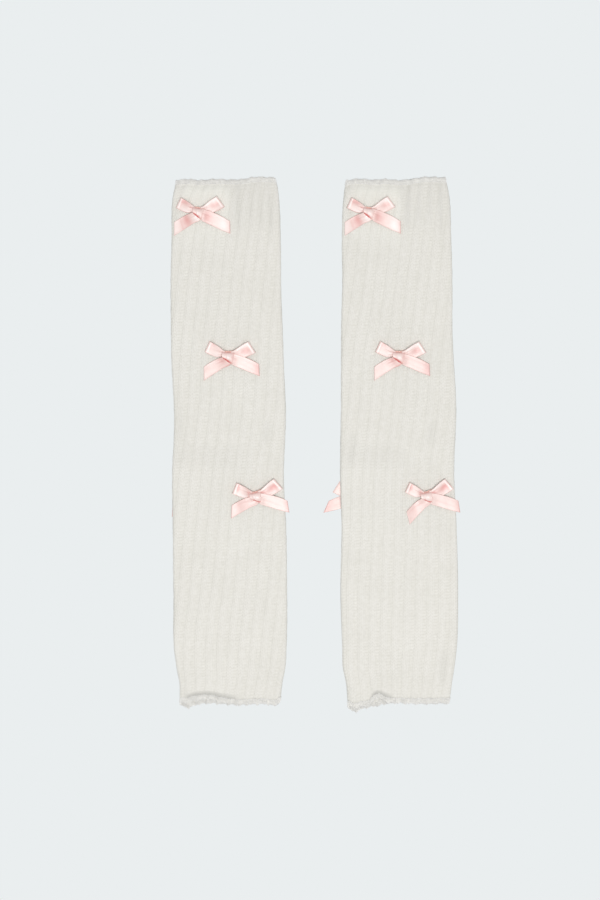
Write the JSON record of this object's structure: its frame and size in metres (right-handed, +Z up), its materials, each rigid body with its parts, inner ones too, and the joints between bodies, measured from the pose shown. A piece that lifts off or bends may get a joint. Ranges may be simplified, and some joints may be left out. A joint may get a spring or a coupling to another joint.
{
  "type": "pair of leg warmers",
  "caption": "Ribbed knit leg warmers laid flat side by side, open at both hems, trimmed with small satin ribbon bows.",
  "frame": {"origin": "on the surface that the pair lies on, under the middle of the pair", "axes": "+Y up the legs to the top hems, +X to the right across the pair as seen from above, +Z up from the surface"},
  "size_m": [0.2466, 0.4585, 0.0134],
  "materials": {
    "rib_knit": "soft off-white rib knit, matt",
    "satin_ribbon": "pale pink satin, soft sheen"
  },
  "bodies": {
    "root": {"leg_left": "rib_knit", "leg_right": "rib_knit", "bow_left_1": "satin_ribbon", "bow_left_2": "satin_ribbon", "bow_left_3": "satin_ribbon", "bow_left_back": "satin_ribbon", "bow_right_1": "satin_ribbon", "bow_right_2": "satin_ribbon", "bow_right_3": "satin_ribbon", "bow_right_back": "satin_ribbon"}
  },
  "joints": []
}
